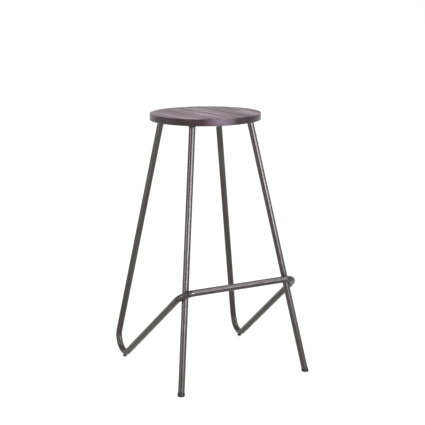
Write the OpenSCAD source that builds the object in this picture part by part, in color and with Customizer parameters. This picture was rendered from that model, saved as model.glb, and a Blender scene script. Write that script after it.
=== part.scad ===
// Bar stool with a footrest: a round seat of edge-glued boards, screwed to a welded frame of
// round tube. The two rear legs and the footrest are one bent tube. The two straight front
// legs stand inside its corner bends and are welded there. Millimetres, +Z up. The floor is
// z = 0 and -Y is the footrest side; left and right are as seen from that side. The origin is
// the middle of the stool's outline on the floor.

/* [Seat] */
// Height of the seat's top above the floor
seat_h = 770; // [650:5:950]
// Diameter of the seat
seat_d = 330; // [320:5:420]
// Thickness of the seat boards
seat_t = 20; // [16:1:40]
// Width of one seat board
board_w = 47; // [35:1:70]
// How far the joint nearest the middle lies to the right of the middle
joint_x = 4; // [-15:1:15]
// Chamfer round the seat's two rims
rim_ease = 1.5; // [0.5:0.5:4]

/* [Tube] */
// Outside diameter of every tube
tube_d = 19; // [15:0.5:24]
// Wall of every tube
tube_wall = 1.5; // [1:0.1:2.5]

/* [Rear legs] */
// Where a rear leg meets the seat ring, out from the middle to the side
rear_top_x = 97; // [80:1:110]
// Where a rear leg meets the seat ring, back from the middle
rear_top_y = 97.5; // [80:0.5:110]
// Where a straight rear leg would reach the floor, out to the side
rear_foot_x = 218; // [180:1:240]
// Where a straight rear leg would reach the floor, back from the middle
rear_foot_y = 211; // [190:1:230]
// Centreline radius of the ankle bend
ankle_r = 60; // [40:1:70]
// Where the ankle's lower straight and the strut would cross, out to the side
heel_x = 207.5; // [195:0.5:220]
// Where the ankle's lower straight and the strut would cross, back from the middle
heel_y = 173; // [165:1:185]
// Centreline radius of the heel bend
heel_r = 38; // [28:1:46]
// Length of the straight between the ankle bend and the heel bend
heel_straight = 3.7; // [1:0.1:30]

/* [Footrest] */
// Height of the footrest's centreline
step_h = 288; // [200:1:350]
// Where the strut and the footrest would cross, out to the side
step_x = 190.5; // [170:0.5:210]
// Where the strut and the footrest would cross, forward of the middle
step_y = 209; // [190:1:240]
// Centreline radius of the corner bends
corner_r = 42; // [34:1:52]

/* [Front legs] */
// Where a front leg meets the seat ring, out from the middle to the side
front_top_x = 95.5; // [80:0.5:110]
// Where a front leg meets the seat ring, forward of the middle
front_top_y = 99.5; // [80:0.5:110]
// How far before the middle of the corner bend the leg touches it, in degrees
touch_turn = 11; // [0:1:20]
// Root gap between leg and footrest, which the weld fills
weld_gap = 0.4; // [0.2:0.1:1]

/* [Seat ring] */
// Radius of the ring's middle
ring_r = 137; // [132:1:142]
// Width of the flat ring
ring_w = 26; // [24:1:30]
// Thickness of the ring
ring_t = 2.5; // [2:0.5:5]
// Leg length of the fillet weld round each leg's top
ring_weld = 3; // [2:0.5:5]

/* [Seat screws] */
// Shank diameter of a seat screw
screw_d = 4.2; // [3:0.1:5]
// How deep a screw goes into the seat
screw_bite = 13; // [8:1:14]
// Diameter of a screw's head
screw_head_d = 8.4; // [7:0.1:10]
// Height of a screw's head
screw_head_h = 2.8; // [2:0.1:4]
// Angle between each pair of screws and the side, front or back of the seat
screw_turn = 15; // [10:1:20]
// Radial gap between a screw and its hole in the ring
screw_gap = 0.4; // [0.2:0.1:0.8]
// Radial gap between a screw and its pilot hole in the boards
pilot_gap = 0.05; // [0.02:0.01:0.2]

/* [Feet] */
// How far a foot cap stands proud of its leg all round
cap_lip = 1; // [0.5:0.25:3]
// Height of a foot cap along its leg
cap_h = 10; // [6:1:16]
// Length of a foot cap's plug inside the leg
plug_len = 16; // [10:1:30]
// Radial gap between a plug's ribs and the leg's bore
plug_gap = 0.1; // [0.05:0.05:0.3]
// Depth of the ribs round a plug
rib_depth = 0.8; // [0.4:0.1:1.2]
// Height of a rear glide below the heel bend
glide_h = 6; // [4:0.5:10]
// Diameter of a rear glide
glide_d = 12; // [10:0.5:14]
// Diameter of the glide's stem
stem_d = 5; // [4:0.5:6]
// Radial gap between the stem and its hole in the heel
stem_gap = 0.1; // [0.05:0.05:0.3]

/* [Hidden] */
$fn = 72;
FINE = 240;           // facets on slivers, of which a coarser circle would cut too much off
LEFT = -1;
RIGHT = 1;
THROUGH = 1;          // how far a cutting shape runs past what it cuts
SETTLE_STEPS = 20;    // rounds of correction when a place is settled
SLEEVE_L = 1;         // length of the sleeve over a joint of straight and bend
SLEEVE_T = 0.02;      // its thickness

tube_r = tube_d / 2;
bore_r = tube_r - tube_wall;
seat_r = seat_d / 2;
ring_z = seat_h - seat_t - ring_t;
cap_r = tube_r + cap_lip;

// Seat boards: joints lie at joint_x + j * board_w, for every j that falls inside the seat.
first_joint = ceil((rim_ease - seat_r - joint_x) / board_w);
last_joint = floor((seat_r - rim_ease - joint_x) / board_w);
board_count = last_joint - first_joint + 2;
function joint_at(j) =
    j < first_joint ? -seat_r :
    j > last_joint ? seat_r :
    joint_x + j * board_w;

// Screws stand in mirrored pairs about the four sides of the ring.
screw_angles = [for (side = [0 : 3], way = [LEFT, RIGHT]) 90 * side + way * screw_turn];

// A bend is given by the corner v that its two straights would make, the points a and b on
// those straights, and its centreline radius r.
function unit(v) = v / norm(v);
function turn_at(a, v, b) = acos(unit(v - a) * unit(b - v));
function setback(a, v, b, r) = r * tan(turn_at(a, v, b) / 2);
function bend_start(a, v, b, r) = v - unit(v - a) * setback(a, v, b, r);
function bend_end(a, v, b, r) = v + unit(b - v) * setback(a, v, b, r);
function inward(a, v, b) = unit(unit(b - v) - unit(v - a));
function bend_centre(a, v, b, r) = v + inward(a, v, b) * r / cos(turn_at(a, v, b) / 2);
function bend_axis(a, v, b) = unit(cross(unit(v - a), unit(b - v)));
// The point of the whole bend circle that lies furthest in a direction
function furthest(a, v, b, r, way) =
    let(axis = bend_axis(a, v, b))
    bend_centre(a, v, b, r) + r * unit(way - (way * axis) * axis);

// Right-hand half of the bent tube, in the frame of the seat's middle
rear_top = [rear_top_x, rear_top_y, ring_z];
rear_foot = [rear_foot_x, rear_foot_y, 0];
corner = [step_x, -step_y, step_h];
step_middle = [0, -step_y, step_h];
// The ankle slides along the leg until the straight below it has its length, and the heel's
// corner point is lowered or raised until the bend clears the floor by glide_h.
function ankle_at(h) = rear_top + (rear_foot - rear_top) * (ring_z - h) / ring_z;
function heel_at(z) = [heel_x, heel_y, z];
function straight_at(h, z) =
    norm(heel_at(z) - ankle_at(h)) - setback(rear_top, ankle_at(h), heel_at(z), ankle_r)
    - setback(ankle_at(h), heel_at(z), corner, heel_r);
function heel_low(h, z) = furthest(ankle_at(h), heel_at(z), corner, heel_r, [0, 0, -1]).z - tube_r;
function settle_foot(h, z, left) =
    left == 0 ? [h, z] :
    settle_foot(h + heel_straight - straight_at(h, z), z + glide_h - heel_low(h, z), left - 1);
foot_heights = settle_foot(ankle_r, 0, SETTLE_STEPS);
ankle = ankle_at(foot_heights[0]);
heel = heel_at(foot_heights[1]);
heel_lowest = furthest(ankle, heel, corner, heel_r, [0, 0, -1]);
rearmost = furthest(rear_top, ankle, heel, ankle_r, [0, 1, 0]).y + tube_r;

// A front leg leans against the inside of the corner bend, touch_turn before its middle. Its
// axis is moved towards or away from the bend until the root gap is right.
front_top = [front_top_x, -front_top_y, ring_z];
corner_mid = bend_centre(heel, corner, step_middle, corner_r);
corner_in = inward(heel, corner, step_middle);
corner_way = unit(unit(step_middle - corner) + unit(corner - heel));
corner_half_turn = turn_at(heel, corner, step_middle) / 2;
function corner_point(turn, r) = corner_mid + r * (sin(turn) * corner_way - cos(turn) * corner_in);
function touch_point(s) = corner_point(-touch_turn, corner_r - s);
function off_line(p, a, b) = norm(cross(p - a, unit(b - a)));
function leg_gap(s) = min([
    for (turn = [-corner_half_turn : 1 : corner_half_turn])
        off_line(corner_point(turn, corner_r), front_top, touch_point(s))
]) - tube_d;
function settle_leg(s, left) =
    left == 0 ? s : settle_leg(s + weld_gap - leg_gap(s), left - 1);
leg_touch = touch_point(settle_leg(tube_d, SETTLE_STEPS));
front_foot = front_top + (leg_touch - front_top) * ring_z / (ring_z - leg_touch.z);
leg_up = unit(front_top - front_foot);
// Middle of the corner weld, half way between the leg's axis and the bend
weld_mid = (leg_touch + corner_point(-touch_turn, corner_r)) / 2;
weld_r = tube_r * 0.7;

// The seat's middle stands off the origin by the difference between the front and the rear.
front_reach = -front_foot.y + cap_r * norm([1, leg_up.y / leg_up.z]);
seat_y = (front_reach - rearmost) / 2;

// Moves a shape from the frame of the seat's middle to the stool's own frame, on one side.
module placed(side = RIGHT) {
    translate([0, seat_y, 0])
        mirror([side == LEFT ? 1 : 0, 0, 0])
            children();
}

// A round bar from a to b. Its seam is turned a quarter, away from the highest and lowest
// points that a level cut has on a leaning bar.
module rod(a, b, r) {
    way = unit(b - a);
    translate(a)
        rotate([0, acos(way.z), atan2(way.y, way.x)])
            rotate([0, 0, 90])
                cylinder(h = norm(b - a), r = r);
}

// The part of a round bar that turns from the straight a-v into the straight v-b
module bend(a, v, b, r, bar_r) {
    centre = bend_centre(a, v, b, r);
    out = unit(bend_start(a, v, b, r) - centre);
    way = unit(v - a);
    axis = cross(out, way);
    multmatrix([
        [out.x, way.x, axis.x, centre.x],
        [out.y, way.y, axis.y, centre.y],
        [out.z, way.z, axis.z, centre.z],
        [0, 0, 0, 1]
    ])
        rotate_extrude(angle = turn_at(a, v, b))
            translate([r, 0])
                circle(bar_r);
}

// The signed angle, about the straight between them, from one bend's plane to the next one's
function roll_between(points, i) =
    let(
        way = unit(points[i + 1] - points[i]),
        before = bend_axis(points[i - 1], points[i], points[i + 1]),
        after = bend_axis(points[i], points[i + 1], points[i + 2])
    )
    atan2(cross(before, after) * way, before * after);

// A hair-thin sleeve over the place where a straight meets a bend, so that the two fuse
module joint_sleeve(bar_r) {
    translate([0, 0, -SLEEVE_L / 2])
        cylinder(h = SLEEVE_L, r = bar_r + SLEEVE_T);
}

// A round bar along a list of points, with a bend of its own radius at each inner point. As on
// a tube bender, each straight and bend stands on the end of the last: +Z runs along the bar
// and +X points to the coming bend's centre.
module bar_run(points, radii, bar_r, i = 0) {
    last = len(points) - 1;
    from = i == 0 ? points[0] : bend_end(points[i - 1], points[i], points[i + 1], radii[i - 1]);
    to = i == last - 1 ? points[last] :
        bend_start(points[i], points[i + 1], points[i + 2], radii[i]);
    straight = norm(to - from);
    cylinder(h = straight, r = bar_r);
    if (i > 0) joint_sleeve(bar_r);
    if (i < last - 1) {
        turn = turn_at(points[i], points[i + 1], points[i + 2]);
        r = radii[i];
        roll = i + 2 < last ? roll_between(points, i + 1) : 0;
        translate([0, 0, straight]) {
            joint_sleeve(bar_r);
            translate([r, 0, 0])
                rotate([90, 0, 180])
                    rotate_extrude(angle = turn)
                        translate([r, 0])
                            circle(bar_r);
            translate([r - r * cos(turn), 0, r * sin(turn)])
                rotate([0, turn, 0])
                    rotate([0, 0, roll])
                        bar_run(points, radii, bar_r, i + 1);
        }
    }
}

// The same, standing at the first point and facing the second
module bent_bar(points, radii, bar_r) {
    way = unit(points[1] - points[0]);
    centre_way = unit(cross(bend_axis(points[0], points[1], points[2]), way));
    side_way = cross(way, centre_way);
    multmatrix([
        [centre_way.x, side_way.x, way.x, points[0].x],
        [centre_way.y, side_way.y, way.y, points[0].y],
        [centre_way.z, side_way.z, way.z, points[0].z],
        [0, 0, 0, 1]
    ])
        bar_run(points, radii, bar_r);
}

// Everything at and above the seat ring's underside, where the legs are cut off flush
module above_ring() {
    translate([-seat_d, -seat_d, ring_z])
        cube([2 * seat_d, 2 * seat_d, seat_h]);
}

// A point on a leg's axis, carried up past the ring so that the flush cut has something to cut
function past_ring(top, below) = top + unit(top - below) * (tube_d + THROUGH);

module seat_disc() {
    rotate_extrude($fn = FINE)
        polygon([
            [0, 0], [seat_r - rim_ease, 0], [seat_r, rim_ease],
            [seat_r, seat_t - rim_ease], [seat_r - rim_ease, seat_t], [0, seat_t]
        ]);
}

module seat_board(i) {
    left_edge = joint_at(first_joint + i - 2);
    right_edge = joint_at(first_joint + i - 1);
    color([0.36, 0.29, 0.29])
        placed()
            difference() {
                translate([0, 0, seat_h - seat_t])
                    intersection() {
                        seat_disc();
                        translate([left_edge, -seat_d, -THROUGH])
                            cube([right_edge - left_edge, 2 * seat_d, seat_t + 2 * THROUGH]);
                    }
                at_screws()
                    cylinder(h = ring_t + screw_bite + THROUGH / 2, r = screw_d / 2 + pilot_gap);
            }
}

// Each screw's place, at the ring's underside
module at_screws() {
    for (a = screw_angles)
        rotate([0, 0, a])
            translate([ring_r, 0, ring_z])
                children();
}

module mounting_ring() {
    color([0.33, 0.31, 0.29])
        placed()
            difference() {
                translate([0, 0, ring_z])
                    cylinder(h = ring_t, r = ring_r + ring_w / 2);
                translate([0, 0, ring_z - THROUGH])
                    cylinder(h = ring_t + 2 * THROUGH, r = ring_r - ring_w / 2);
                at_screws()
                    translate([0, 0, -THROUGH])
                        cylinder(h = ring_t + 2 * THROUGH, r = screw_d / 2 + screw_gap);
            }
}

module seat_screw() {
    tip_h = screw_d;
    recess_d = screw_head_d * 0.55;
    recess_w = screw_d * 0.25;
    cylinder(h = ring_t + screw_bite - tip_h, r = screw_d / 2);
    translate([0, 0, ring_t + screw_bite - tip_h])
        cylinder(h = tip_h, r1 = screw_d / 2, r2 = screw_d / 8);
    difference() {
        mirror([0, 0, 1]) {
            cylinder(h = screw_head_h / 2, r = screw_head_d / 2);
            translate([0, 0, screw_head_h / 2])
                cylinder(h = screw_head_h / 2, r1 = screw_head_d / 2, r2 = screw_head_d / 3);
        }
        for (a = [0, 90])
            rotate([0, 0, a])
                translate([-recess_d / 2, -recess_w / 2, -screw_head_h - THROUGH])
                    cube([recess_d, recess_w, screw_head_h * 0.6 + THROUGH]);
    }
}

module seat_screws() {
    color([0.72, 0.72, 0.70])
        placed()
            at_screws()
                seat_screw();
}

// A bead round one leg's top, in the corner between the leaning leg and the ring. Its seam is
// turned a quarter, as a rod's is.
module ring_weld_bead(top, below) {
    lean = unit(top - below);
    rise = tube_r * norm([lean.x, lean.y]) / lean.z + ring_weld / 2;
    difference() {
        translate(top)
            rotate([0, acos(lean.z), atan2(lean.y, lean.x)])
                rotate([0, 0, 90])
                    rotate_extrude()
                        polygon([
                            [tube_r, -rise - ring_weld], [tube_r + ring_weld, -rise],
                            [tube_r + ring_weld, rise + ring_weld], [tube_r, rise + ring_weld]
                        ]);
        above_ring();
    }
}

module ring_welds() {
    color([0.30, 0.28, 0.26])
        for (side = [LEFT, RIGHT])
            placed(side) {
                ring_weld_bead(rear_top, ankle);
                ring_weld_bead(front_top, front_foot);
            }
}

// The rear legs and the footrest, as a solid bar of radius r: two mirrored halves
module loop_bar(r) {
    for (side = [LEFT, RIGHT])
        mirror([side == LEFT ? 1 : 0, 0, 0])
            bent_bar(
                [step_middle, corner, heel, ankle, past_ring(rear_top, ankle)],
                [corner_r, heel_r, ankle_r],
                r
            );
}

module leg_loop() {
    color([0.33, 0.31, 0.29])
        placed()
            difference() {
                loop_bar(tube_r);
                loop_bar(bore_r);
                above_ring();
                for (side = [LEFT, RIGHT])
                    mirror([side == LEFT ? 1 : 0, 0, 0])
                        translate([heel_lowest.x, heel_lowest.y, glide_h - THROUGH])
                            cylinder(h = tube_r + THROUGH, r = stem_d / 2 + stem_gap);
            }
}

module front_leg(side) {
    color([0.33, 0.31, 0.29])
        placed(side)
            difference() {
                rod(front_foot + leg_up * cap_h, past_ring(front_top, front_foot), tube_r);
                rod(front_foot, past_ring(front_top, front_foot) + leg_up * THROUGH, bore_r);
                above_ring();
            }
}

// The weld metal that fills the root gap between a front leg and the corner bend
module corner_weld(side) {
    color([0.30, 0.28, 0.26])
        placed(side)
            difference() {
                translate(weld_mid)
                    sphere(r = weld_r, $fn = FINE);
                rod(front_foot, front_top, tube_r, $fn = FINE);
                bend(heel, corner, step_middle, corner_r, tube_r, $fn = FINE);
            }
}

module foot_cap(side) {
    head_top = front_foot + leg_up * cap_h;
    rib_pitch = plug_len / 4;
    color([0.10, 0.10, 0.10])
        placed(side) {
            difference() {
                rod(front_foot - leg_up * cap_r, head_top, cap_r);
                translate([front_foot.x, front_foot.y, -cap_r * 2])
                    translate([-cap_r * 2, -cap_r * 2, 0])
                        cube([cap_r * 4, cap_r * 4, cap_r * 2]);
            }
            rod(head_top - leg_up * THROUGH, head_top + leg_up * plug_len,
                bore_r - plug_gap - rib_depth);
            for (i = [1 : 3])
                rod(head_top + leg_up * (i * rib_pitch - rib_depth),
                    head_top + leg_up * (i * rib_pitch + rib_depth),
                    bore_r - plug_gap);
        }
}

module rear_glide(side) {
    ease = glide_d / 12;
    saddle = glide_d / 6;
    color([0.06, 0.06, 0.06])
        placed(side) {
            difference() {
                translate([heel_lowest.x, heel_lowest.y, 0])
                    rotate_extrude()
                        polygon([
                            [0, 0], [glide_d / 2 - ease, 0], [glide_d / 2, ease],
                            [glide_d / 2, glide_h + saddle], [0, glide_h + saddle]
                        ]);
                bend(ankle, heel, corner, heel_r, tube_r);
            }
            translate([heel_lowest.x, heel_lowest.y, glide_h / 2])
                cylinder(h = glide_h / 2 + tube_wall + stem_d, r = stem_d / 2);
        }
}

for (i = [1 : board_count])
    seat_board(i);
mounting_ring();
seat_screws();
ring_welds();
leg_loop();
front_leg(LEFT);  // front_leg_left
front_leg(RIGHT);  // front_leg_right
corner_weld(LEFT);  // corner_weld_left
corner_weld(RIGHT);  // corner_weld_right
foot_cap(LEFT);  // foot_cap_left
foot_cap(RIGHT);  // foot_cap_right
rear_glide(LEFT);  // rear_glide_left
rear_glide(RIGHT);  // rear_glide_right
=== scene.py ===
"""Bar stool with a footrest: a round seat of stained boards on a frame of bent, welded tube.

Lengths are in metres. The floor is z = 0, and -Y is the footrest side.
"""
import math
import random

import bmesh
import bpy
from mathutils import Matrix, Vector


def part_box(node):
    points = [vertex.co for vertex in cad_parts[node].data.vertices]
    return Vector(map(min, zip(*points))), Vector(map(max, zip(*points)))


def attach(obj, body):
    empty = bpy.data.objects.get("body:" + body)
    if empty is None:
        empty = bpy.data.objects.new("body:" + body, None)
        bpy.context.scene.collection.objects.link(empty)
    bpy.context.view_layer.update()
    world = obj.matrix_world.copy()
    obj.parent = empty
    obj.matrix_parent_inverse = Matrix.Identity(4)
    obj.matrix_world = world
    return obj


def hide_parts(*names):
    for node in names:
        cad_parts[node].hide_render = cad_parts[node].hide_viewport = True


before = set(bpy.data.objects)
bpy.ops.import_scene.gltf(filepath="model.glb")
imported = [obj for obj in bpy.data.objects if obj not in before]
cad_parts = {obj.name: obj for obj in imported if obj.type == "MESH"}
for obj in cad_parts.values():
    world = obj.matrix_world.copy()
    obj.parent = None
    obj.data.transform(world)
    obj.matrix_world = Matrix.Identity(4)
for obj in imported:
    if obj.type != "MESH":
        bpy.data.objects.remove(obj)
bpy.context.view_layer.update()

# ---------------------------------------------------------------- sizes

MM = 0.001
LEFT, RIGHT = -1, 1
SIDE_WORDS = {LEFT: "left", RIGHT: "right"}

ring_low, ring_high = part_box("mounting_ring")
SEAT_MID = Vector((0, (ring_low.y + ring_high.y) / 2, 0))
RING_Z = ring_low.z
SEAT_UNDER = ring_high.z
SEAT_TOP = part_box("seat_board_4")[1].z

# Seat
BOARDS = 8
SEAT_R = 165 * MM
RIM_ROUND = 1.5 * MM
FINE_JOINT = 0.2 * MM       # easing of the boards' edges at a joint that hardly shows
JOINT_EASE = {4: 0.3 * MM, 5: 0.6 * MM}   # easing right of a board, where the joint shows

# Tube
TUBE_R = 9.5 * MM
BORE_R = 8 * MM
ROUND = 64                  # sides of a tube
BEND_STEP = math.radians(3)

# The bent tube's corner points, right-hand side, and its bends' radii
REAR_TOP = Vector((97, 97.5, 0)) * MM
REAR_FOOT = Vector((218, 211, 0)) * MM
ANKLE_Z = 58.01 * MM
HEEL = Vector((207.5, 173, -5.675)) * MM
CORNER = Vector((190.5, -209, 288)) * MM
ANKLE_BEND, HEEL_BEND, CORNER_BEND = 60 * MM, 38 * MM, 42 * MM

# Front legs
FRONT_TOP = Vector((95.5, -99.5, 0)) * MM
FRONT_FOOT = Vector((209.375, -234.718, 0)) * MM

# Ring and screws
RING_R = 137 * MM
RING_W = 26 * MM
RING_EASE = 0.4 * MM
SCREW_TURN = math.radians(15)
SCREW_R = 2.1 * MM
SCREW_ROOT_R = 1.55 * MM
SCREW_BITE = 13 * MM
SCREW_HEAD_R = 4.2 * MM
SCREW_HEAD_H = 2.8 * MM
SCREW_HEAD_ROUND = 2 * MM
SCREW_POINT = 3.5 * MM
THREAD_PITCH = 1.8 * MM
THREAD_LOW = 3.2 * MM
THREAD_TURNS = 6
THREAD_STEPS = 20           # steps in each turn of the thread
THREAD_HALF = 0.45 * MM     # half the width of the thread's foot
RECESS_TOP = (4.4 * MM, 1.1 * MM)       # a slot of the cross recess: length and width at the head
RECESS_FLOOR = (2.2 * MM, 0.7 * MM)     # and at its floor
RECESS_DEEP = 1.7 * MM
SCREW_HOLE_R = 2.5 * MM
PILOT_R = 2.15 * MM
PILOT_SPARE = 0.5 * MM

# Welds
RING_BEAD = 2.5 * MM
RING_BEAD_SHIFT = 0.3 * MM  # how far the bead's middle stands off the corner that it fills
RING_RIPPLES = 30
CORNER_BEAD = 1 * MM
CORNER_BEAD_RING = 5.8 * MM
CORNER_BEAD_OVER = 1.1 * MM # how far the bead stands out of the gap between the tubes
CORNER_RIPPLES = 17
CORNER_TRIES = 240          # places tried along the bend for the one nearest to the leg

# Feet
CAP_R = 10.5 * MM
CAP_H = 10 * MM
CAP_LIP = 0.5 * MM
CAP_SOLE_ROUND = 1.4 * MM
PLUG_LEN = 16 * MM
PLUG_R = 7.9 * MM
PLUG_ROOT_R = 7.1 * MM
GLIDE_R = 6 * MM
GLIDE_H = 6 * MM
GLIDE_ROUND = 1.2 * MM
STEM_R = 2.5 * MM
STEM_TOP = 12.5 * MM
STEM_HOLE_R = 2.6 * MM
STEM_HOLE = (3 * MM, 9.5 * MM)                # from and to these heights, through the tube's wall
SADDLE_RINGS = (5 * MM, 4 * MM, 3.2 * MM)     # rings of the saddle between its rim and the stem

SHARP = math.radians(32)
finished = []


def on_side(point, side):
    """A right-hand point of the seat's frame, carried to one side of the stool."""
    return Vector((point.x * side, point.y, point.z)) + SEAT_MID


def along_leg(top, foot, z):
    """The point at height z on the straight line from a leg's top to its foot on the floor."""
    top = Vector((top.x, top.y, RING_Z))
    return top.lerp(foot, (RING_Z - z) / RING_Z)


def front_leg_line(side):
    """A front leg's foot on the floor, its top under the ring, and the way up it."""
    foot = on_side(FRONT_FOOT, side)
    top = on_side(along_leg(FRONT_TOP, FRONT_FOOT, RING_Z), side)
    return foot, top, (top - foot).normalized()


ANKLE = along_leg(REAR_TOP, REAR_FOOT, ANKLE_Z)


# ---------------------------------------------------------------- mesh helpers

def edges_among(verts):
    """The edges that join only the given vertices."""
    chosen = set(verts)
    return [e for e in {e for v in verts for e in v.link_edges} if set(e.verts) <= chosen]


def edge_verts(edges):
    return list({v for e in edges for v in e.verts})


def middle_of(edges):
    points = edge_verts(edges)
    return sum((v.co for v in points), Vector()) / len(points)


def open_loops(bm):
    """The mesh's open edges, as a list of the loops that they make."""
    open_edges = [e for e in bm.edges if e.is_boundary]
    loops = []
    while open_edges:
        loop = [open_edges.pop()]
        reached = set(loop[0].verts)
        while more := [e for e in open_edges if reached & set(e.verts)]:
            loop += more
            reached |= {v for e in more for v in e.verts}
            open_edges = [e for e in open_edges if e not in more]
        loops.append(loop)
    return loops


def close_open_edges(bm):
    bmesh.ops.holes_fill(bm, edges=[e for e in bm.edges if e.is_boundary], sides=0)


def cut_off(bm, at, way):
    """Cuts the mesh with a plane, drops what lies past it, and returns the cut's edges."""
    cut = bmesh.ops.bisect_plane(
        bm, geom=bm.verts[:] + bm.edges[:] + bm.faces[:], dist=1e-7, plane_co=at, plane_no=way,
        clear_outer=True,
    )["geom_cut"]
    return [g for g in cut if isinstance(g, bmesh.types.BMEdge)]


def ease(bm, edges, width, segments):
    bmesh.ops.bevel(
        bm, geom=edges, offset=width, segments=segments, profile=0.5, affect="EDGES",
        material=-1, clamp_overlap=True,
    )


def turned(bm, outline, steps, matrix=None):
    """Turns an outline of (radius, height) points about the Z axis into a closed shape."""
    verts = [bm.verts.new((r, 0, z)) for r, z in outline]
    line = [bm.edges.new(pair) for pair in zip(verts, verts[1:])]
    before = set(bm.verts) - set(verts)
    bmesh.ops.spin(
        bm, geom=verts + line, cent=(0, 0, 0), axis=(0, 0, 1), angle=math.tau, steps=steps,
        use_merge=True,
    )
    made = [v for v in bm.verts if v not in before]
    bmesh.ops.remove_doubles(bm, verts=made, dist=1e-6)
    made = [v for v in bm.verts if v not in before]
    if matrix is not None:
        bmesh.ops.transform(bm, matrix=matrix, verts=made)
    return made


def arc(centre, radius, start, end, steps):
    """Outline points along an arc, angles in degrees from the +radius direction."""
    angles = [math.radians(start + (end - start) * i / steps) for i in range(steps + 1)]
    return [(centre[0] + radius * math.cos(a), centre[1] + radius * math.sin(a)) for a in angles]


def standing(at, way):
    """A matrix that puts a shape standing on the origin at a point, with +Z along a way."""
    return Matrix.Translation(at) @ way.to_track_quat("Z", "Y").to_matrix().to_4x4()


def mesh_object(bm, name):
    mesh = bpy.data.meshes.new(name)
    bm.to_mesh(mesh)
    bm.free()
    piece = bpy.data.objects.new(name, mesh)
    bpy.context.scene.collection.objects.link(piece)
    return piece


def cut_away(piece, tool_bm):
    """Cuts a closed tool shape out of a piece, and keeps only the result."""
    tool = mesh_object(tool_bm, "tool")
    cut = piece.modifiers.new("cut", "BOOLEAN")
    cut.operation = "DIFFERENCE"
    cut.solver = "EXACT"
    cut.object = tool
    depsgraph = bpy.context.evaluated_depsgraph_get()
    result = bpy.data.meshes.new_from_object(piece.evaluated_get(depsgraph))
    piece.modifiers.clear()
    piece.data = result
    bpy.data.objects.remove(tool)


def finish_piece(piece, material, node):
    """Smooth shading, material and the piece's place in the stool."""
    mesh = piece.data
    mesh.materials.clear()
    mesh.materials.append(material)
    mesh.shade_smooth()
    mesh.set_sharp_from_angle(angle=SHARP)
    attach(piece, "root")
    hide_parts(node)
    finished.append(piece)


# ---------------------------------------------------------------- tubes

def bend_at(a, v, b, radius):
    """Start, end, centre, axis and angle of the bend where the straights a-v and v-b meet."""
    into = (v - a).normalized()
    out = (b - v).normalized()
    turn = into.angle(out)
    back = radius * math.tan(turn / 2)
    axis = into.cross(out).normalized()
    start = v - into * back
    return start, v + out * back, start + axis.cross(into) * radius, axis, turn


def grow(bm, ring, place, distance):
    """Extrudes a ring of edges. Each vertex keeps its place in the unbent tube."""
    grown = bmesh.ops.extrude_edge_only(bm, edges=ring)["geom"]
    verts = [g for g in grown if isinstance(g, bmesh.types.BMVert)]
    for v in verts:
        v[place].z += distance
    return verts


def slide_to_height(verts, way, z, place):
    """Slides a ring's vertices along the tube until they lie flush with a level face."""
    for v in verts:
        step = (z - v.co.z) / way.z
        v.co += way * step
        v[place].z += step


def slide_square(verts, way, at, reach, place):
    """Slides a ring's vertices along the tube until they lie square across it at a point."""
    for v in verts:
        v.co += way * (at - v.co).dot(way)
        v[place].z = reach


def lay_skin(bm, points, radii, radius, place, level_ends):
    """One skin of a bent tube. Returns the edges of its first and last ring."""
    way = (points[1] - points[0]).normalized()
    stand = standing(points[0], way)
    verts = bmesh.ops.create_circle(bm, segments=ROUND, radius=radius, matrix=stand)["verts"]
    for v in verts:
        local = stand.inverted() @ v.co
        v[place] = (local.x, local.y, 0)
    if level_ends[0]:
        slide_to_height(verts, way, points[0].z, place)
    first = edges_among(verts)
    here = points[0]
    ring = first
    for i, bend_r in enumerate(radii):
        start, end, centre, axis, turn = bend_at(*points[i:i + 3], bend_r)
        verts = grow(bm, ring, place, (start - here).length)
        if i == 0 and level_ends[0]:
            slide_square(verts, way, start, (start - here).length, place)
        else:
            bmesh.ops.translate(bm, verts=verts, vec=start - here)
        ring = edges_among(verts)
        steps = max(1, math.ceil(turn / BEND_STEP))
        for _ in range(steps):
            verts = grow(bm, ring, place, bend_r * turn / steps)
            bmesh.ops.rotate(
                bm, verts=verts, cent=centre, matrix=Matrix.Rotation(turn / steps, 3, axis)
            )
            ring = edges_among(verts)
        here = end
    way = (points[-1] - points[-2]).normalized()
    verts = grow(bm, ring, place, (points[-1] - here).length)
    bmesh.ops.translate(bm, verts=verts, vec=points[-1] - here)
    if level_ends[1]:
        slide_to_height(verts, way, points[-1].z, place)
    return first, edges_among(verts)


def tube(name, points, radii, level_ends):
    """A hollow tube: an outer skin and a bore, joined at the tube's ends."""
    bm = bmesh.new()
    place = bm.verts.layers.float_vector.new("tube_place")
    outer = lay_skin(bm, points, radii, TUBE_R, place, level_ends)
    skin = set(bm.faces)
    bore = lay_skin(bm, points, radii, BORE_R, place, level_ends)
    bmesh.ops.reverse_faces(bm, faces=[f for f in bm.faces if f not in skin])
    for outside, inside in zip(outer, bore):
        bmesh.ops.bridge_loops(bm, edges=outside + inside)
    bmesh.ops.recalc_face_normals(bm, faces=bm.faces)
    return mesh_object(bm, name)


def loop_points():
    """The bent tube's corner points, from the left rear leg's top round to the right one's."""
    top = along_leg(REAR_TOP, REAR_FOOT, RING_Z)
    right = [CORNER, HEEL, ANKLE, top]
    left = [on_side(p, LEFT) for p in reversed(right)]
    return left + [on_side(p, RIGHT) for p in right]


def rod(bm, at, radius, low, high):
    """A plain upright rod, to cut a hole with."""
    outline = [(0, low), (radius, low), (radius, high), (0, high)]
    turned(bm, outline, 32, Matrix.Translation(at))


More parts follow.
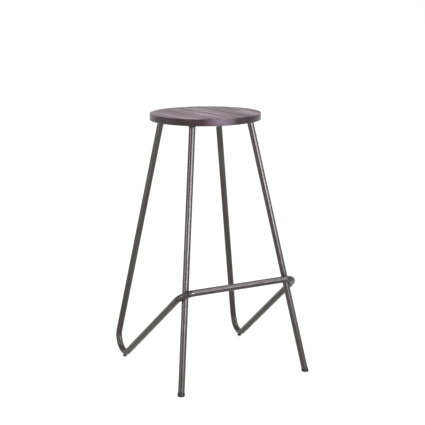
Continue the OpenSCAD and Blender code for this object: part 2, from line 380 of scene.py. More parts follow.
def make_leg_loop(paint):
    radii = [ANKLE_BEND, HEEL_BEND, CORNER_BEND, CORNER_BEND, HEEL_BEND, ANKLE_BEND]
    loop = tube("bent_leg_tube", loop_points(), radii, (True, True))
    stem_holes = bmesh.new()
    for side in (LEFT, RIGHT):
        low = heel_low_point(side)
        rod(stem_holes, (low.x, low.y, 0), STEM_HOLE_R, *STEM_HOLE)
    bmesh.ops.recalc_face_normals(stem_holes, faces=stem_holes.faces)
    cut_away(loop, stem_holes)
    finish_piece(loop, paint, "leg_loop")


def make_front_leg(side, paint):
    foot, top, up = front_leg_line(side)
    leg = tube(f"front_leg_tube_{SIDE_WORDS[side]}", [foot + up * CAP_H, top], [], (False, True))
    finish_piece(leg, paint, f"front_leg_{SIDE_WORDS[side]}")


# ---------------------------------------------------------------- the heel bend's shape

def heel_bend(side):
    points = [on_side(p, side) for p in (ANKLE, HEEL, CORNER)]
    return bend_at(*points, HEEL_BEND)


def heel_low_point(side):
    """The lowest point of the heel bend's centreline."""
    _, _, centre, axis, _ = heel_bend(side)
    down = Vector((0, 0, -1))
    level = (down - axis * down.dot(axis)).normalized()
    return centre + level * HEEL_BEND


def heel_skin_height(side, x, y):
    """The height of the heel bend's underside above a point of the floor."""
    _, _, centre, axis, _ = heel_bend(side)
    low, high = 0, heel_low_point(side).z
    for _ in range(40):
        middle = (low + high) / 2
        arm = Vector((x, y, middle)) - centre
        aside = arm.dot(axis)
        off = math.hypot((arm - axis * aside).length - HEEL_BEND, aside)
        low, high = (low, middle) if off < TUBE_R else (middle, high)
    return low


# ---------------------------------------------------------------- welds

def bead_ring(bm, ring_r, bead_r, ripples):
    """A ring of weld bead about Z, with the scalloped ripples that a torch leaves."""
    section = bmesh.ops.create_circle(
        bm, segments=14, radius=bead_r,
        matrix=Matrix.Translation((ring_r, 0, 0)) @ Matrix.Rotation(math.pi / 2, 4, "X"),
    )["verts"]
    before = set(bm.verts) - set(section)
    bmesh.ops.spin(
        bm, geom=section + edges_among(section), cent=(0, 0, 0), axis=(0, 0, 1),
        angle=math.tau, steps=ripples * 8, use_merge=True,
    )
    made = [v for v in bm.verts if v not in before]
    bmesh.ops.remove_doubles(bm, verts=made, dist=1e-7)
    made = [v for v in bm.verts if v not in before]
    drift = random.Random(ripples)
    waves = [(drift.uniform(0, math.tau), drift.uniform(0.04, 0.09)) for _ in range(3)]
    for v in made:
        angle = math.atan2(v.co.y, v.co.x)
        spoke = Vector((math.cos(angle), math.sin(angle), 0)) * ring_r
        swell = 0.86 + 0.2 * abs(math.sin(angle * ripples / 2))
        for n, (phase, size) in enumerate(waves):
            swell += size * math.sin((2 * n + 3) * angle + phase)
        v.co = spoke + (v.co - spoke) * swell
    return made


def ring_weld(bm, top, foot, side):
    """The fillet bead in the corner between a leaning leg and the ring's underside."""
    at = on_side(along_leg(top, foot, RING_Z), side)
    way = (at - on_side(Vector(foot), side)).normalized()
    made = bead_ring(bm, TUBE_R + RING_BEAD_SHIFT, RING_BEAD, RING_RIPPLES)
    stand = standing(at, way)
    for v in made:
        spoke = Vector((v.co.x, v.co.y, 0)).normalized() * TUBE_R
        centre = stand @ spoke
        v.co = stand @ v.co + way * ((RING_Z - RING_BEAD_SHIFT - centre.z) / way.z)


def make_ring_welds(paint):
    """The four beads, cut level under the ring, each closed between its two open rims."""
    bm = bmesh.new()
    for side in (LEFT, RIGHT):
        ring_weld(bm, REAR_TOP, REAR_FOOT, side)
        ring_weld(bm, FRONT_TOP, FRONT_FOOT, side)
    cut_off(bm, (0, 0, RING_Z), (0, 0, 1))
    loops = open_loops(bm)
    while loops:
        loop = loops.pop()
        mate = min(loops, key=lambda other: (middle_of(other) - middle_of(loop)).length)
        loops.remove(mate)
        bmesh.ops.bridge_loops(bm, edges=loop + mate)
    bmesh.ops.recalc_face_normals(bm, faces=bm.faces)
    welds = mesh_object(bm, "ring_weld_beads")
    finish_piece(welds, paint, "ring_welds")


def closest_on_corner(side):
    """Where the corner bend's centreline comes closest to the front leg's, and the leg's point."""
    step_middle = Vector((0, CORNER.y, CORNER.z))
    points = [on_side(p, side) for p in (HEEL, CORNER, step_middle)]
    start, _, centre, axis, turn = bend_at(*points, CORNER_BEND)
    foot, _, up = front_leg_line(side)
    best = None
    for i in range(CORNER_TRIES + 1):
        swing = Matrix.Rotation(turn * i / CORNER_TRIES, 3, axis)
        on_bend = centre + swing @ (start - centre)
        on_leg = foot + up * (on_bend - foot).dot(up)
        way = swing @ axis.cross(start - centre).normalized()
        if best is None or (on_bend - on_leg).length < (best[0] - best[1]).length:
            best = (on_bend, on_leg, way, up)
    return best


def make_corner_weld(side, paint):
    """The bead laid round the place where a front leg touches the corner bend."""
    on_bend, on_leg, bend_way, leg_way = closest_on_corner(side)
    out = (on_bend - on_leg).normalized()
    gap = (on_bend - on_leg).length - 2 * TUBE_R
    middle = (on_bend + on_leg) / 2
    aside = out.cross(leg_way).normalized()

    def fall(spoke, axis):
        """How far a tube's skin falls away from the touching plane at a spoke's end."""
        off = (spoke - axis * spoke.dot(axis)).length
        return TUBE_R - math.sqrt(TUBE_R ** 2 - min(off, TUBE_R * 0.95) ** 2)

    bm = bmesh.new()
    made = bead_ring(bm, CORNER_BEAD_RING, CORNER_BEAD, CORNER_RIPPLES)
    for vert in made:
        angle = math.atan2(vert.co.y, vert.co.x)
        spoke_way = leg_way * math.cos(angle) + aside * math.sin(angle)
        spoke = spoke_way * CORNER_BEAD_RING
        from_leg, from_bend = fall(spoke, leg_way), fall(spoke, bend_way)
        size = ((gap + from_leg + from_bend) / 2 + CORNER_BEAD_OVER) / CORNER_BEAD
        across = math.hypot(vert.co.x, vert.co.y) - CORNER_BEAD_RING
        vert.co = (
            middle + spoke + spoke_way * across * size
            + out * ((from_bend - from_leg) / 2 + vert.co.z * size)
        )
    bmesh.ops.recalc_face_normals(bm, faces=bm.faces)
    weld = mesh_object(bm, f"corner_weld_bead_{SIDE_WORDS[side]}")
    finish_piece(weld, paint, f"corner_weld_{SIDE_WORDS[side]}")


# ---------------------------------------------------------------- ring and screws

def screw_places():
    """The screws' places on the ring, in mirrored pairs about its four sides."""
    angles = [side * math.pi / 2 + way * SCREW_TURN for side in range(4) for way in (LEFT, RIGHT)]
    return [SEAT_MID + Vector((math.cos(a), math.sin(a), 0)) * RING_R for a in angles]


def hole_tools(radius, low, high):
    """Eight rods that cut the screws' holes."""
    bm = bmesh.new()
    for place in screw_places():
        rod(bm, place, radius, low, high)
    bmesh.ops.recalc_face_normals(bm, faces=bm.faces)
    return bm


def make_ring(paint):
    low, high = RING_Z, SEAT_UNDER
    near, far = RING_R - RING_W / 2, RING_R + RING_W / 2
    e = RING_EASE
    outline = (
        arc((far - e, low + e), e, -90, 0, 3) + arc((far - e, high - e), e, 0, 90, 3)
        + arc((near + e, high - e), e, 90, 180, 3) + arc((near + e, low + e), e, 180, 270, 3)
    )
    bm = bmesh.new()
    turned(bm, outline + outline[:1], 256, Matrix.Translation(SEAT_MID))
    bmesh.ops.recalc_face_normals(bm, faces=bm.faces)
    ring = mesh_object(bm, "seat_ring_plate")
    cut_away(ring, hole_tools(SCREW_HOLE_R, low - MM, high + MM))
    finish_piece(ring, paint, "mounting_ring")


def screw_blank():
    """A pan-head wood screw without its recess and thread, head down under the ring."""
    tip = SCREW_BITE + (SEAT_UNDER - RING_Z)
    dome_mid = (SCREW_HEAD_R - SCREW_HEAD_ROUND, -SCREW_HEAD_H + SCREW_HEAD_ROUND)
    outline = [(0, -SCREW_HEAD_H)] + arc(dome_mid, SCREW_HEAD_ROUND, -90, 0, 6)
    outline += [(SCREW_HEAD_R, 0), (SCREW_R * 0.9, 0), (SCREW_R * 0.9, THREAD_LOW - THREAD_PITCH)]
    outline += [(SCREW_ROOT_R, THREAD_LOW), (SCREW_ROOT_R, tip - SCREW_POINT), (0.25 * MM, tip)]
    outline += [(0, tip)]
    bm = bmesh.new()
    turned(bm, outline, 40)
    bmesh.ops.recalc_face_normals(bm, faces=bm.faces)
    return mesh_object(bm, "screw_blank")


def recess_slot(turn):
    """One slot of the cross recess, narrower at its floor than at the head's face."""
    bm = bmesh.new()
    slot = bmesh.ops.create_cube(bm, size=1)["verts"]
    for v in slot:
        deep = v.co.z > 0
        length, width = RECESS_FLOOR if deep else RECESS_TOP
        v.co.x *= length
        v.co.y *= width
        v.co.z = -SCREW_HEAD_H + (RECESS_DEEP if deep else -0.5 * MM)
    bmesh.ops.rotate(bm, verts=slot, cent=(0, 0, 0), matrix=Matrix.Rotation(turn, 3, "Z"))
    bmesh.ops.recalc_face_normals(bm, faces=bm.faces)
    return bm


def add_thread(bm):
    """A sharp ridge spun up the shank."""
    root = SCREW_ROOT_R - 0.1 * MM
    ridge = [
        bm.verts.new((root, 0, THREAD_LOW - THREAD_HALF)),
        bm.verts.new((SCREW_R, 0, THREAD_LOW)),
        bm.verts.new((root, 0, THREAD_LOW + THREAD_HALF)),
    ]
    section = bm.faces.new(ridge)
    bmesh.ops.spin(
        bm, geom=[section] + ridge + section.edges[:], cent=(0, 0, 0), axis=(0, 0, 1),
        dvec=(0, 0, THREAD_PITCH / THREAD_STEPS), angle=math.tau * THREAD_TURNS,
        steps=THREAD_STEPS * THREAD_TURNS, use_merge=False,
    )
    bmesh.ops.recalc_face_normals(bm, faces=bm.faces)


def one_screw():
    """The mesh of one screw, with its recess and thread."""
    screw = screw_blank()
    for turn in (0, math.pi / 2):
        cut_away(screw, recess_slot(turn))
    bm = bmesh.new()
    bm.from_mesh(screw.data)
    bpy.data.objects.remove(screw)
    add_thread(bm)
    mesh = bpy.data.meshes.new("one_screw")
    bm.to_mesh(mesh)
    bm.free()
    return mesh


def make_screws(zinc):
    """The eight screws, each stopped at its own angle."""
    screw = one_screw()
    bm = bmesh.new()
    spin = random.Random(8)
    for place in screw_places():
        start = len(bm.verts)
        bm.from_mesh(screw)
        bm.verts.ensure_lookup_table()
        stand = Matrix.Translation((place.x, place.y, RING_Z))
        turn = Matrix.Rotation(spin.uniform(0, math.tau), 4, "Z")
        bmesh.ops.transform(bm, verts=bm.verts[start:], matrix=stand @ turn)
    screws = mesh_object(bm, "seat_screw_set")
    finish_piece(screws, zinc, "seat_screws")


# ---------------------------------------------------------------- feet

def make_foot_cap(side, rubber):
    """A rubber cap: a head with a rounded foot cut level with the floor, and a ribbed plug."""
    foot, _, up = front_leg_line(side)
    pitch = PLUG_LEN / 4
    rib = 0.8 * MM
    outline = [(0, -1.2 * CAP_R), (CAP_R, -1.2 * CAP_R)]
    outline += arc((CAP_R - CAP_LIP, CAP_H - CAP_LIP), CAP_LIP, 0, 90, 4)
    outline += [(PLUG_ROOT_R, CAP_H)]
    for n in (1, 2, 3):
        z = CAP_H + n * pitch
        outline += [(PLUG_ROOT_R, z - rib), (PLUG_R, z - rib * 0.4), (PLUG_R, z + rib * 0.1),
                    (PLUG_ROOT_R, z + rib)]
    outline += arc((PLUG_ROOT_R - MM, CAP_H + PLUG_LEN - MM), MM, 0, 90, 3)
    outline += [(0, CAP_H + PLUG_LEN)]
    bm = bmesh.new()
    turned(bm, outline, ROUND, standing(foot, up))
    sole_edge = cut_off(bm, (0, 0, 0), (0, 0, -1))
    close_open_edges(bm)
    ease(bm, sole_edge, CAP_SOLE_ROUND, 4)
    bmesh.ops.recalc_face_normals(bm, faces=bm.faces)
    cap = mesh_object(bm, f"rubber_foot_cap_{SIDE_WORDS[side]}")
    finish_piece(cap, rubber, f"foot_cap_{SIDE_WORDS[side]}")


def make_glide(side, rubber):
    """A button glide: rounded foot, a saddle that fits the heel bend, and a stem inside it."""
    low = heel_low_point(side)
    outline = [(0, 0)] + arc((GLIDE_R - GLIDE_ROUND, GLIDE_ROUND), GLIDE_ROUND, -90, 0, 4)
    outline += [(r, GLIDE_H) for r in (GLIDE_R, *SADDLE_RINGS, STEM_R)]
    outline += [(STEM_R, STEM_TOP - MM), (STEM_R - 0.6 * MM, STEM_TOP), (0, STEM_TOP)]
    bm = bmesh.new()
    made = turned(bm, outline, 48, Matrix.Translation((low.x, low.y, 0)))
    for v in made:
        if abs(v.co.z - GLIDE_H) < 1e-7:
            v.co.z = heel_skin_height(side, v.co.x, v.co.y)
    bmesh.ops.recalc_face_normals(bm, faces=bm.faces)
    glide = mesh_object(bm, f"heel_glide_{SIDE_WORDS[side]}")
    finish_piece(glide, rubber, f"rear_glide_{SIDE_WORDS[side]}")


# ---------------------------------------------------------------- seat boards

def seat_blank():
    """The whole seat as one round blank with rounded rims."""
    bm = bmesh.new()
    bmesh.ops.create_circle(
        bm, cap_ends=True, segments=288, radius=SEAT_R,
        matrix=Matrix.Translation(SEAT_MID + Vector((0, 0, SEAT_UNDER))),
    )
    top = bmesh.ops.extrude_face_region(bm, geom=bm.faces[:])["geom"]
    raised = [g for g in top if isinstance(g, bmesh.types.BMVert)]
    bmesh.ops.translate(bm, verts=raised, vec=(0, 0, SEAT_TOP - SEAT_UNDER))
    bmesh.ops.recalc_face_normals(bm, faces=bm.faces)
    rims = [e for e in bm.edges if abs(e.verts[0].co.z - e.verts[1].co.z) < 1e-7]
    ease(bm, rims, RIM_ROUND, 4)
    return bm


def saw_off(bm, x, way, width):
    """Saws a board off at a joint, and eases the arris round the sawn face."""
    cut_off(bm, (x, 0, 0), (way, 0, 0))
    close_open_edges(bm)
    bmesh.ops.recalc_face_normals(bm, faces=bm.faces)
    arris = [e for e in bm.edges if all(abs(v.co.x - x) < 1e-6 for v in e.verts)]
    ease(bm, arris, width, 2)


def make_board(number, wood):
    """One board: the round blank sawn on its joints, with its pilot holes."""
    node = f"seat_board_{number}"
    low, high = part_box(node)
    bm = seat_blank()
    if number > 1:
        saw_off(bm, low.x, LEFT, JOINT_EASE.get(number - 1, FINE_JOINT))
    if number < BOARDS:
        saw_off(bm, high.x, RIGHT, JOINT_EASE.get(number, FINE_JOINT))
    board = mesh_object(bm, f"oiled_board_{number}")
    if any(low.x < place.x < high.x for place in screw_places()):
        deep = SEAT_UNDER + SCREW_BITE + PILOT_SPARE
        cut_away(board, hole_tools(PILOT_R, SEAT_UNDER - 2 * MM, deep))
    finish_piece(board, wood, node)


# ---------------------------------------------------------------- materials

FLOOR_GLOW = 0.81


class Surface:
    """A node material, with short calls for the nodes that it is made of."""

    def __init__(self, name):
        self.material = bpy.data.materials.new(name)
        self.material.use_nodes = True
        self.tree = self.material.node_tree
        self.shader = self.tree.nodes["Principled BSDF"]

    def node(self, kind, sockets=None, **settings):
        made = self.tree.nodes.new("ShaderNode" + kind)
        for key, value in settings.items():
            setattr(made, key, value)
        for socket, value in (sockets or {}).items():
            self.feed(made.inputs[socket], value)
        return made

    def feed(self, socket, value):
        if isinstance(value, bpy.types.NodeSocket):
            self.tree.links.new(value, socket)
        else:
            socket.default_value = value

    def coordinates(self, attribute=None):
        if attribute:
            return self.node("Attribute", attribute_name=attribute).outputs["Vector"]
        return self.node("TexCoord").outputs["Object"]

    def mapped(self, vector, scale=(1, 1, 1), move=(0, 0, 0), turn=(0, 0, 0)):
        return self.node(
            "Mapping", {"Vector": vector, "Scale": scale, "Location": move, "Rotation": turn}
        ).outputs["Vector"]

    def noise(self, vector, scale, detail=3, roughness=0.5, warp=0):
        """Noise whose grains measure 1 / scale along each axis."""
        return self.node("TexNoise", {
            "Vector": self.mapped(vector, scale), "Scale": 1, "Detail": detail,
            "Roughness": roughness, "Distortion": warp,
        }).outputs["Fac"]

    def ramp(self, factor, *stops):
        """A colour or grey for each position of a factor; a grey is given as one number."""
        made = self.node("ValToRGB", {"Fac": factor})
        elements = made.color_ramp.elements
        while len(elements) < len(stops):
            elements.new(0.5)
        for element, (at, value) in zip(elements, stops):
            element.position = at
            rgb = value if isinstance(value, tuple) else (value, value, value)
            element.color = (*rgb, 1)
        return made.outputs["Color"]

    def mix(self, factor, a, b, blend="MIX"):
        made = self.node("Mix", data_type="RGBA", blend_type=blend)
        self.feed(made.inputs["Factor"], factor)
        for socket, value in (("A", a), ("B", b)):
            target = [s for s in made.inputs if s.name == socket and s.type == "RGBA"][0]
            self.feed(target, (*value, 1) if isinstance(value, tuple) else value)
        return [s for s in made.outputs if s.type == "RGBA"][0]

    def maths(self, operation, a, b=0.0, clamp=False):
        return self.node("Math", {0: a, 1: b}, operation=operation, use_clamp=clamp).outputs[0]

    def times(self, a, b):
        return self.maths("MULTIPLY", a, b)

    def spread(self, value, low, high, to_low=0.0, to_high=1.0):
        """Stretches a value from one range to another, held at its ends."""
        return self.node("MapRange", {
            "Value": value, "From Min": low, "From Max": high, "To Min": to_low, "To Max": to_high,
        }).outputs["Result"]

    def bump(self, height, distance, strength=1.0, under=None):
        made = self.node("Bump", {"Height": height, "Distance": distance, "Strength": strength})
        if under is not None:
            self.feed(made.inputs["Normal"], under)
        return made.outputs["Normal"]

    def set(self, **sockets):
        for name, value in sockets.items():
            self.feed(self.shader.inputs[name.replace("_", " ")], value)
        return self.material


def frame_paint(name, attribute=None):
    """Gunmetal lacquer over drawn tube: fine streaks along the tube, mottle and scuffs."""
    s = Surface(name)
    place = s.coordinates(attribute)
    along = 5 if attribute else 260
    streaks = s.noise(place, (420, 420, along), detail=3, roughness=0.5)
    wide = s.noise(place, (130, 130, along / 4), detail=2)
    mottle = s.noise(place, (900, 900, 900), detail=3)
    cloud = s.noise(place, (28, 28, 14), detail=3)
    base = s.ramp(
        s.times(s.maths("ADD", streaks, wide), 0.5),
        (0.36, (0.050, 0.043, 0.039)), (0.5, (0.072, 0.064, 0.060)), (0.64, (0.098, 0.090, 0.091)),
    )
    tone = s.mix(s.spread(cloud, 0.35, 0.7, 0, 0.3), base, (0.062, 0.050, 0.043))
    dull_streaks = s.spread(streaks, 0.3, 0.7, 0.26, 0.31)
    rough = s.maths("ADD", dull_streaks, s.spread(mottle, 0.3, 0.7, 0, 0.02))
    peel = s.bump(mottle, 0.004 * MM, 0.2)
    lines = s.bump(streaks, 0.008 * MM, 0.25, peel)
    return s.set(Base_Color=tone, Metallic=1.0, Roughness=rough, Normal=lines)


def weld_paint():
    """Lacquer over a weld: duller and much darker than on the tube, darkest in the valleys of its
    grit.
    """
    s = Surface("lacquered weld")
    place = s.coordinates()
    grit = s.noise(place, (1500, 1500, 1500), detail=4)
    tone = s.ramp(grit, (0.3, (0.010, 0.009, 0.009)), (0.7, (0.038, 0.034, 0.032)))
    return s.set(Base_Color=tone, Metallic=0.8, Roughness=s.spread(grit, 0.3, 0.7, 0.35, 0.6),
                 Normal=s.bump(grit, 0.08 * MM, 0.7), Specular_IOR_Level=0.3)


def foot_rubber():
    """Black moulded rubber, a little paler with dust where it meets the floor."""
    s = Surface("black rubber")
    place = s.coordinates()
    grain = s.noise(place, (2200, 2200, 2200), detail=3)
    smears = s.noise(place, (160, 160, 420), detail=3)
    height = s.node("SeparateXYZ", {0: place}).outputs["Z"]
    dust = s.times(s.spread(height, 0, 4 * MM, 1, 0), s.spread(smears, 0.4, 0.7, 0, 0.4))
    black = s.ramp(grain, (0.3, (0.007, 0.007, 0.008)), (0.7, (0.017, 0.016, 0.016)))
    tone = s.mix(dust, black, (0.05, 0.047, 0.045))
    return s.set(Base_Color=tone, Roughness=s.spread(smears, 0.3, 0.7, 0.45, 0.65),
                 Normal=s.bump(grain, 0.03 * MM, 0.6), Specular_IOR_Level=0.3)


def screw_zinc():
    """Bright zinc plate with fine turning marks and a few dull spots."""
    s = Surface("zinc plate")
    place = s.coordinates()
    marks = s.noise(place, (500, 500, 6000), detail=2)
    spots = s.noise(place, (700, 700, 700), detail=3)
    tone = s.ramp(spots, (0.3, (0.42, 0.42, 0.40)), (0.65, (0.66, 0.66, 0.64)))
    return s.set(Base_Color=tone, Metallic=1.0, Roughness=s.spread(spots, 0.3, 0.7, 0.22, 0.42),
                 Normal=s.bump(marks, 0.01 * MM, 0.5))


# Each board: how far its cut lies from the tree's heart, across and up, the tilt of its grain
# in degrees, and how red, how pale and how dark its stain came out.
BOARD_CUTS = [
    (-30, -42, 1.0, 0.15, 0.45, 0.35),
    (24, -58, -1.2, 0.20, 0.60, 0.30),
    (-12, -36, 0.8, 0.25, 0.45, 0.45),
    (34, -66, -0.6, 0.15, 0.75, 0.15),
    (-22, -50, 1.5, 0.20, 0.25, 0.60),
    (40, -40, -1.0, 0.15, 0.45, 0.40),
    (-36, -60, 0.7, 0.10, 0.45, 0.45),
    (18, -44, -1.4, 0.10, 0.40, 0.50),
]

# The colour that the stain left on each board's end grain, and how much of it shows.
# Board 4's paler, mauve end grain is partly stain and partly painted sheen, under the painted sheen's
# middle.
END_STAINS = [
    ((0.036, 0.016, 0.018), 0.7), ((0.042, 0.018, 0.019), 0.7), ((0.056, 0.018, 0.017), 0.8),
    ((0.060, 0.040, 0.048), 0.9), ((0.040, 0.024, 0.030), 0.8), ((0.018, 0.008, 0.013), 0.9),
    ((0.012, 0.007, 0.010), 0.9), ((0.014, 0.010, 0.014), 0.9),
]

# The painted sheen on the seat's front edge: a pale patch that stands in for the front strip's
# highlight on the rim, since that lamp is flagged off the seat. Its middle from the seat's,
# where it starts to fade and where it ends, and its colour.
PAINTED_RIM_SHEEN = (-33 * MM, 10 * MM, 52 * MM, (0.200, 0.160, 0.205))

# How much of the rim's lower edge the stain has reddened, where it is more than elsewhere.
LOW_RED = {2: 0.6, 3: 0.6}

# Pale bands and stained bands along a board's edges: board, which edge, width, colour and strength.
# A pale colour used for wear and for painted highlights on the top.
PALE_WEAR_AND_HIGHLIGHT = (0.330, 0.290, 0.310)
DARK_STAIN = (0.016, 0.010, 0.012)
EDGE_BANDS = [
    (5, RIGHT, 6.0 * MM, DARK_STAIN, 0.80), (6, LEFT, 4.0 * MM, DARK_STAIN, 0.70),
    (2, RIGHT, 2.0 * MM, DARK_STAIN, 0.35), (7, LEFT, 2.5 * MM, DARK_STAIN, 0.40),
    (3, RIGHT, 2.0 * MM, DARK_STAIN, 0.30), (7, RIGHT, 2.0 * MM, PALE_WEAR_AND_HIGHLIGHT, 0.30),
]

# Marks on the top: board, place from the seat's middle, half width and half length, colour.
# The long pale line on board 5 and the two pale marks on board 2 are painted highlights.
TOP_MARKS = [
    (5, (12.5, 0), (3.2, 190), PALE_WEAR_AND_HIGHLIGHT), (4, (-9, -10), (2.2, 150), DARK_STAIN),
    (3, (-85, -11), (4, 11), DARK_STAIN), (2, (-119, 14), (3, 28), PALE_WEAR_AND_HIGHLIGHT),
    (2, (-127, 42), (2, 18), PALE_WEAR_AND_HIGHLIGHT), (8, (157, -30), (2.5, 22), DARK_STAIN),
    (6, (78, 60), (3, 40), DARK_STAIN), (4, (-26, 96), (3, 34), DARK_STAIN),
    (3, (-62, -70), (4, 30), PALE_WEAR_AND_HIGHLIGHT), (7, (118, -50), (3, 40), PALE_WEAR_AND_HIGHLIGHT),
]


def band_edges(s, number, tone, where, ragged, half):
    """A board's pale and stained bands along its joints, with ragged inner edges."""
    for board, side, width, colour, strength in EDGE_BANDS:
        if board == number:
            inwards = s.maths("SUBTRACT", half, s.times(where.outputs["X"], side))
            reach = s.times(ragged, 2 * width)
            band = s.spread(s.maths("SUBTRACT", inwards, reach), -0.3 * MM, 0.5 * MM, strength, 0)
            tone = s.mix(band, tone, colour)
    return tone


def mark_top(s, number, tone, square, middle_x, ragged, side_wall):
    """A board's marks, some of them painted highlights, on its top and underside but not on its walls.
    """
    for board, (x, y), (wide, long), colour in TOP_MARKS:
        if board == number:
            to_mark = s.mapped(square, move=(middle_x / (wide * MM) - x / wide, -y / long, 0),
                               scale=(1 / (wide * MM), 1 / (long * MM), 0))
            away = s.node("VectorMath", {0: to_mark}, operation="LENGTH").outputs["Value"]
            spot = s.spread(s.maths("ADD", away, s.times(ragged, 1.6)), 1.2, 1.9, 0.8, 0)
            tone = s.mix(s.times(spot, s.maths("SUBTRACT", 1, side_wall)), tone, colour)
    return tone


def stain_rim_and_paint_sheen(s, number, tone, square, where, middle_x, side_wall):
    """The dark rim, the stain between its saw marks at the front, and a painted sheen on the front
    edge.
    """
    end_stain, end_share = END_STAINS[number - 1]
    saw_marks = s.noise(s.mapped(square, turn=(0, 0.6, 0)), (420, 5, 90), detail=2, roughness=0.7)
    walls = s.mix(s.times(side_wall, 0.9), tone, (0.019, 0.012, 0.015))
    stain = s.times(s.times(side_wall, end_share), s.spread(saw_marks, 0.40, 0.58, 0.25, 1))
    front = s.spread(where.outputs["Y"], -0.10, -0.06, 1, 0)
    stained = s.mix(s.times(stain, front), walls, end_stain)
    # A painted highlight: a pale patch where the front strip's sheen would lie, a little broken by the
    # saw marks.
    sheen_x, fade_from, fade_to, sheen_colour = PAINTED_RIM_SHEEN
    aside = s.maths("ABSOLUTE", s.maths("SUBTRACT", where.outputs["X"], sheen_x - middle_x))
    sheen_share = s.times(s.spread(aside, fade_from, fade_to, 1, 0), s.spread(saw_marks, 0.40, 0.58, 0.7, 1))
    return s.mix(s.times(s.times(sheen_share, front), side_wall), stained, sheen_colour)


def stained_board(number):
    """Dark stained, oiled pine: year rings about the tree's heart, fibres, pores and stain,
    with some painted highlights on the top and a painted sheen on the front rim.
    """
    heart_x, heart_z, tilt, red, pale, dark = BOARD_CUTS[number - 1]
    s = Surface(f"stained board {number}")
    low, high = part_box(f"seat_board_{number}")
    middle = Vector(((low.x + high.x) / 2, SEAT_MID.y, SEAT_UNDER))
    place = s.coordinates()
    square = s.mapped(place, move=tuple(-middle))
    local = s.mapped(square, move=(0, number * 0.37, 0), turn=(0, 0, math.radians(tilt)))
    bend = s.noise(local, (9, 1.6, 9), detail=2)
    sway = s.node("VectorMath", {0: (0.016, 0, 0.010)}, operation="SCALE")
    s.feed(sway.inputs["Scale"], s.maths("SUBTRACT", bend, 0.5))
    swayed = s.node(
        "VectorMath", {0: local, 1: sway.outputs["Vector"]}, operation="ADD"
    ).outputs["Vector"]
    heart = s.mapped(swayed, move=(-heart_x * MM, 0, -heart_z * MM))
    rings = s.node("TexWave", {
        "Vector": heart, "Scale": 78, "Distortion": 2.2, "Detail": 3, "Detail Scale": 1.2,
        "Detail Roughness": 0.55,
    }, wave_type="RINGS", rings_direction="Y", wave_profile="SAW").outputs["Fac"]
    fibre = s.noise(swayed, (900, 16, 900), detail=4, roughness=0.65)
    streak = s.noise(swayed, (190, 4.5, 190), detail=4, roughness=0.6)
    broad = s.noise(swayed, (48, 2.6, 48), detail=3)
    blotch = s.noise(local, (22, 9, 22), detail=3, roughness=0.6)
    pores = s.noise(swayed, (2600, 46, 2600), detail=2)
    normal = s.node("SeparateXYZ", {0: s.node("TexCoord").outputs["Normal"]})
    side_wall = s.spread(s.maths("ABSOLUTE", normal.outputs["Z"]), 0.3, 0.8, 1, 0)
    where = s.node("SeparateXYZ", {0: square})

    body = s.ramp(
        s.maths("ADD", s.times(streak, 0.6), s.times(broad, 0.4)),
        (0.40, (0.024, 0.014, 0.018)), (0.47, (0.094, 0.066, 0.075)),
        (0.53, (0.192, 0.140, 0.159)), (0.60, (0.375, 0.300, 0.338)),
    )
    late = s.mix(s.spread(rings, 0.55, 0.98, 0, 0.62), body, (0.036, 0.021, 0.023))
    fine = s.mix(s.spread(fibre, 0.38, 0.62, 0.6, 0), late, (0.026, 0.018, 0.021))
    worn = s.mix(s.spread(broad, 0.48, 0.68, 0, 0.6 * pale + 0.1), fine, (0.350, 0.290, 0.322))
    ruddy = s.mix(s.times(s.spread(blotch, 0.42, 0.62), red), worn, (0.115, 0.036, 0.027))
    tone = s.mix(s.spread(blotch, 0.62, 0.40, 0, 0.75 * dark), ruddy, (0.030, 0.019, 0.025))

    ragged = s.noise(local, (160, 22, 160), detail=3)
    tone = band_edges(s, number, tone, where, ragged, (high.x - low.x) / 2)
    tone = mark_top(s, number, tone, square, middle.x, ragged, side_wall)
    # The rim's tone, with its stain and the painted sheen.
    stained = stain_rim_and_paint_sheen(s, number, tone, square, where, middle.x, side_wall)
    low_edge = s.times(s.spread(where.outputs["Z"], 2 * MM, 9 * MM, 1, 0), side_wall)
    red_share = s.times(s.spread(blotch, 0.44, 0.54), LOW_RED.get(number, 0.12))
    reddened = s.mix(s.times(low_edge, red_share), stained, (0.085, 0.022, 0.018))
    tone = s.mix(s.spread(pores, 0.66, 0.72, 0, 0.8), reddened, (0.012, 0.008, 0.009))

    relief = s.bump(fibre, 0.10 * MM, 0.55)
    relief = s.bump(rings, 0.12 * MM, 0.35, relief)
    relief = s.bump(s.spread(pores, 0.62, 0.72, 1, 0), 0.15 * MM, 0.6, relief)
    top_rough = s.spread(fibre, 0.3, 0.7, 0.42, 0.56)
    rough = s.maths("SUBTRACT", top_rough, s.times(side_wall, 0.18))
    return s.set(Base_Color=tone, Roughness=rough, Normal=relief, Specular_IOR_Level=0.3)


def floor_paint():
    """Pale floor with a glow of its own, so that it comes out as bright as the world."""
    s = Surface("pale floor")
    place = s.coordinates()
    grain = s.noise(place, (60, 60, 60), detail=3)
    tone = s.ramp(grain, (0.3, (0.19, 0.19, 0.19)), (0.7, (0.22, 0.22, 0.22)))
    return s.set(
        Base_Color=tone, Roughness=0.8, Emission_Color=(1, 1, 1, 1), Emission_Strength=FLOOR_GLOW
    )


# ---------------------------------------------------------------- studio

CAMERA_AT = Vector((-1.5386, -2.8585, 1.1533))
CAMERA_AIM = Vector((0.0098, -0.0053, 0.4702))
CAMERA_ROLL = math.radians(0.334)
CAMERA_LENS = 93.57
SENSOR = 36.0

WORLD_STRENGTH = 1.0
LILAC = (0.88, 0.88, 1.0)
COOL = (0.78, 0.84, 1.0)

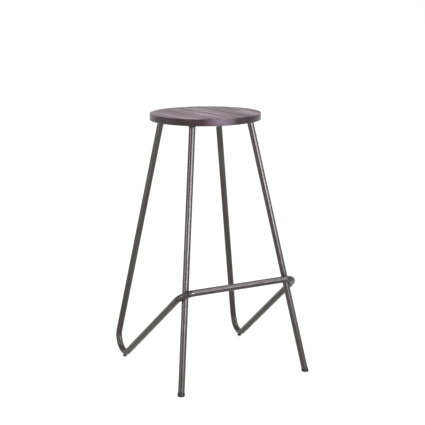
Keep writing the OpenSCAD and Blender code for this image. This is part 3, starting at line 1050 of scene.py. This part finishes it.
# Each soft box: where it hangs, what it faces, its width and height, its watts and its colour,
# and whether it is flagged off the seat, so that only the frame mirrors it.
SOFT_BOXES = [
    ("front strip", (0.14, -2.97, 1.00), (0, 0, 0.75), (0.36, 1.1), 72, COOL, True),
    ("bar box", (1.50, -2.70, 1.10), (0, -0.2, 0.30), (0.8, 0.40), 26, COOL, True),
    ("front fill", (0.10, -3.00, 0.95), (0, 0, 0.75), (0.9, 0.9), 9, LILAC, False),
    ("overhead", (1.20, -0.90, 2.70), (0, 0, 0.45), (2.4, 2.4), 60, LILAC, False),
    ("left fill", (-2.90, -0.70, 1.10), (0, 0, 0.45), (0.6, 1.8), 26, LILAC, True),
]


def facing(at, aim):
    """A matrix that puts a camera or a lamp at a point, looking at another."""
    look = (aim - at).to_track_quat("-Z", "Y").to_matrix().to_4x4()
    return Matrix.Translation(at) @ look


def make_camera():
    data = bpy.data.cameras.new("camera")
    data.lens = CAMERA_LENS
    data.sensor_width = SENSOR
    camera = bpy.data.objects.new("camera", data)
    bpy.context.scene.collection.objects.link(camera)
    roll = Matrix.Rotation(-CAMERA_ROLL, 4, "Z")
    camera.matrix_world = facing(CAMERA_AT, CAMERA_AIM) @ roll
    bpy.context.scene.camera = camera


def soft_box(name, at, aim, size, power, colour, flagged, frame_pieces):
    data = bpy.data.lights.new(name, "AREA")
    data.shape = "RECTANGLE"
    data.size, data.size_y = size
    data.energy = power
    data.color = colour
    lamp = bpy.data.objects.new(name, data)
    bpy.context.scene.collection.objects.link(lamp)
    lamp.matrix_world = facing(Vector(at), Vector(aim))
    if flagged:
        lamp.light_linking.receiver_collection = frame_pieces


def make_studio(metal_pieces):
    bm = bmesh.new()
    bmesh.ops.create_circle(bm, cap_ends=True, segments=96, radius=30)
    floor = mesh_object(bm, "floor")
    floor.data.materials.append(floor_paint())

    world = bpy.data.worlds.new("studio")
    bpy.context.scene.world = world
    world.use_nodes = True
    world.node_tree.nodes["Background"].inputs["Color"].default_value = (1, 1, 1, 1)
    world.node_tree.nodes["Background"].inputs["Strength"].default_value = WORLD_STRENGTH

    frame_pieces = bpy.data.collections.new("frame pieces")
    for piece in metal_pieces:
        frame_pieces.objects.link(piece)
    for box in SOFT_BOXES:
        soft_box(*box, frame_pieces)


# ---------------------------------------------------------------- the stool

bpy.context.scene.view_settings.view_transform = "Standard"
make_camera()

tube_paint = frame_paint("gunmetal lacquer on tube", "tube_place")
plate_paint = frame_paint("gunmetal lacquer on plate")
weld = weld_paint()
rubber = foot_rubber()
zinc = screw_zinc()

for number in range(1, BOARDS + 1):
    make_board(number, stained_board(number))
make_ring(plate_paint)
make_screws(zinc)
make_ring_welds(weld)
make_leg_loop(tube_paint)
for side in (LEFT, RIGHT):
    make_front_leg(side, tube_paint)
    make_corner_weld(side, weld)
    make_foot_cap(side, rubber)
    make_glide(side, rubber)

make_studio([piece for piece in finished if not piece.name.startswith("oiled_board")])
